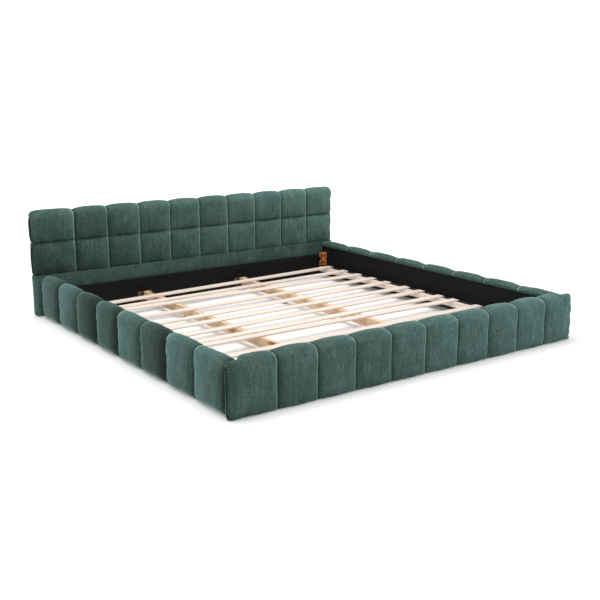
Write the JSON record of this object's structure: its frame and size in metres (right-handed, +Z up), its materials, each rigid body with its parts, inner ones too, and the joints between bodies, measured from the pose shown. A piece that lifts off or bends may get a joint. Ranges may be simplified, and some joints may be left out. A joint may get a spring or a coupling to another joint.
{
  "type": "upholstered headboard bed",
  "caption": "Low upholstered bed frame with a tufted headboard, channelled rails and footboard, loose slats, centre beams and levelling feet.",
  "frame": {"origin": "on the floor, under the middle of the bed's length and of the headboard's width", "axes": "+Z up; +Y from the foot towards the headboard; +X to the right seen from the foot"},
  "size_m": [2.229, 2.264, 0.64],
  "materials": {
    "velvet": "soft short-pile velvet, teal green, with a pale sheen along folds",
    "lining": "black non-woven lining, matt",
    "birch": "pale planed birch, unfinished",
    "pine": "knotty pine, sawn and planed, unfinished",
    "plywood": "plywood sheet, unfinished",
    "black_timber": "timber batten stained black",
    "yellow_zinc": "yellow-passivated zinc plated steel, satin",
    "zinc": "bright zinc plated steel",
    "black_plastic": "black nylon, matt"
  },
  "bodies": {
    "root": {"headboard_frame": "pine", "headboard_panel": "plywood", "headboard_upper_pad": "velvet", "headboard_lower_pad": "velvet", "headboard_base_pad": "velvet", "headboard_back_cover": "velvet", "left_rail_board": "plywood", "right_rail_board": "plywood", "left_rail_pad": "velvet", "right_rail_pad": "velvet", "left_rail_lining": "lining", "right_rail_lining": "lining", "left_cleat": "black_timber", "right_cleat": "black_timber", "left_ledger": "birch", "right_ledger": "birch", "foot_board": "plywood", "foot_pad": "velvet", "foot_inner_panel": "plywood", "foot_lining": "lining", "head_rail_board": "plywood", "head_rail_lining": "lining", "left_centre_beam": "pine", "right_centre_beam": "pine", "beam_hangers": "yellow_zinc", "hanger_screws": "zinc", "corner_bracket_head_left": "yellow_zinc", "corner_bracket_head_right": "yellow_zinc", "corner_bracket_foot_left": "yellow_zinc", "corner_bracket_foot_right": "yellow_zinc", "bracket_bolts": "yellow_zinc", "threaded_inserts": "zinc", "cleat_screws": "zinc", "tee_nuts": "zinc", "floor_glides": "black_plastic", "slat_01": "birch", "slat_02": "birch", "slat_03": "birch", "slat_04": "birch", "slat_05": "birch", "slat_06": "birch", "slat_07": "birch", "slat_08": "birch", "slat_09": "birch", "slat_10": "birch", "slat_11": "birch", "slat_12": "birch", "slat_13": "birch"},
    "levelling_foot_front_left": {"levelling_foot_front_left": "black_plastic"},
    "levelling_foot_front_right": {"levelling_foot_front_right": "black_plastic"},
    "levelling_foot_back_left": {"levelling_foot_back_left": "black_plastic"},
    "levelling_foot_back_right": {"levelling_foot_back_right": "black_plastic"}
  },
  "joints": [
    {"name": "levelling_foot_front_left_height", "type": "slide", "parent": "root", "child": "levelling_foot_front_left", "axis": [0, 0, 1], "range_m": [-0.008, 0.008]},
    {"name": "levelling_foot_front_right_height", "type": "slide", "parent": "root", "child": "levelling_foot_front_right", "axis": [0, 0, 1], "range_m": [-0.008, 0.008]},
    {"name": "levelling_foot_back_left_height", "type": "slide", "parent": "root", "child": "levelling_foot_back_left", "axis": [0, 0, 1], "range_m": [-0.008, 0.008]},
    {"name": "levelling_foot_back_right_height", "type": "slide", "parent": "root", "child": "levelling_foot_back_right", "axis": [0, 0, 1], "range_m": [-0.008, 0.008]}
  ]
}
